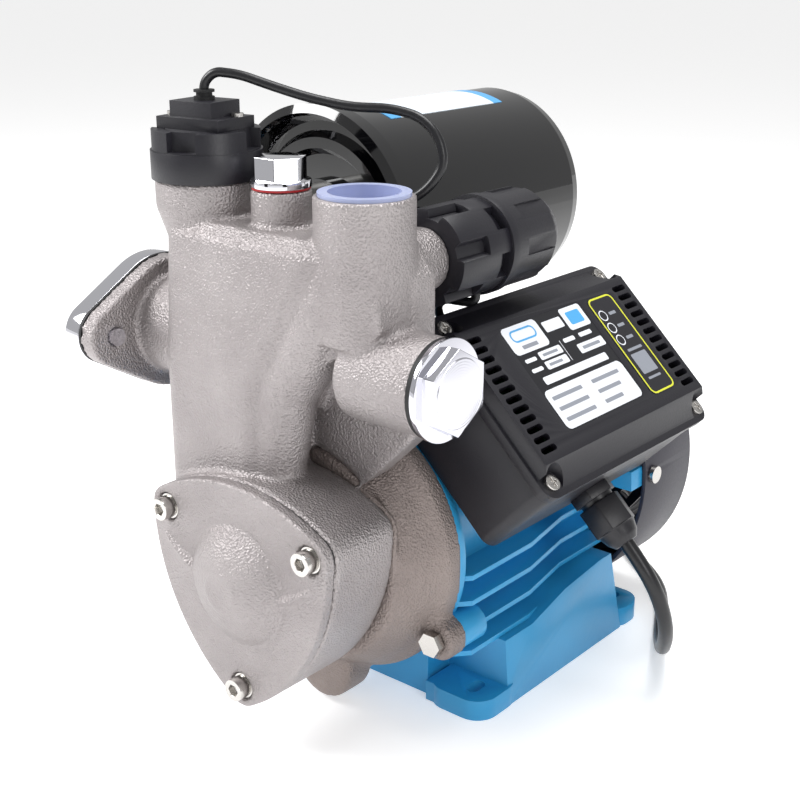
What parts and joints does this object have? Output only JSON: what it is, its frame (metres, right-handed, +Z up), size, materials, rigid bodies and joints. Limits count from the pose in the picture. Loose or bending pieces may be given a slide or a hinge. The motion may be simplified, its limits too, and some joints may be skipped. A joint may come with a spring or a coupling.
{
  "type": "self-priming shallow well jet pump",
  "caption": "Self-priming jet pump with finned motor, small pressure tank, pressure switch, flow sensor and tilted control box.",
  "frame": {"origin": "centre of the foot's bolt slots, on the face that stands on the floor", "axes": "+Y runs along the shaft from the front cover to the fan, +Z is up, +X is to the right seen from the front cover"},
  "size_m": [0.2381, 0.3705, 0.2882],
  "materials": {
    "cast_steel": "bead-blasted as-cast nickel silver",
    "cast_bracket": "rough as-cast",
    "blue_paint": "semi-gloss",
    "black_enamel": "glossy",
    "black_plastic": "fine texture",
    "clear_plastic": "translucent",
    "white_plastic": "gloss",
    "chrome": "polished",
    "steel": "machined",
    "stator_steel": "laminated",
    "copper": "enamelled copper wire",
    "brass": "machined",
    "aluminium": "as cast",
    "black_rubber": "matte",
    "red_rubber": "matte",
    "label_film": "printed film",
    "board": "solder resist"
  },
  "bodies": {
    "pump": {"pump_casing": "cast_steel", "front_cover": "cast_steel", "front_cover_gasket": "black_rubber", "cover_screws": "steel", "motor_bracket": "cast_bracket", "bracket_bolts": "steel", "diffuser": "brass", "ejector": "brass", "shaft_seal_seat": "black_rubber", "bearing_outer_rings": "steel", "end_shield": "aluminium", "stator_core": "stator_steel", "stator_windings": "copper", "motor_housing": "blue_paint", "fan_cover": "black_plastic", "fan_cover_screws": "steel", "flow_sensor_housing": "black_plastic", "flow_sensor_head": "black_plastic", "sensor_oring": "black_rubber", "sensor_grommet": "black_rubber", "sensor_screws": "steel", "fill_plug": "chrome", "fill_plug_gasket": "red_rubber", "side_plug": "chrome", "side_plug_oring": "black_rubber", "suction_gasket": "black_rubber", "suction_flange": "chrome", "suction_bolts": "chrome", "tank_shell": "black_enamel", "tank_base": "black_enamel", "tank_adapter": "steel", "tank_bladder": "black_rubber", "tank_label": "label_film", "switch_base": "black_plastic", "switch_cap": "black_plastic", "box_base": "black_plastic", "box_lid": "black_plastic", "lid_screws": "steel", "name_plate": "label_film", "status_panel": "label_film", "indicator_leds": "white_plastic", "circuit_board": "board", "gland_body": "black_plastic", "gland_nut": "black_plastic", "power_cord": "black_rubber", "power_cord_coil": "black_rubber", "power_plug": "black_rubber", "plug_pins": "brass", "sensor_cable": "black_rubber", "switch_cable": "black_rubber"},
    "rotor": {"shaft": "steel", "rotor_core": "stator_steel", "impeller": "brass", "impeller_nut": "steel", "shaft_seal_head": "steel", "bearing_inner_rings": "steel", "fan": "black_plastic"},
    "flow_valve": {"flow_valve": "white_plastic"},
    "switch_plunger": {"switch_plunger": "brass"},
    "outlet_cap": {"outlet_cap": "clear_plastic"}
  },
  "joints": [
    {"name": "rotor_spin", "type": "hinge", "parent": "pump", "child": "rotor", "pos_m": [0, 0, 0.08], "axis": [0, 1, 0], "continuous": true},
    {"name": "flow_valve_lift", "type": "slide", "parent": "pump", "child": "flow_valve", "axis": [0, 0, 1], "range_m": [0, 0.008]},
    {"name": "switch_plunger_press", "type": "slide", "parent": "pump", "child": "switch_plunger", "axis": [0, 1, 0], "range_m": [0, 0.0015], "stiffness_N_per_m": 500, "springref_m": -0.002},
    {"name": "outlet_cap_lift", "type": "slide", "parent": "pump", "child": "outlet_cap", "axis": [0, 0, 1], "range_m": [0, 0.06]}
  ]
}
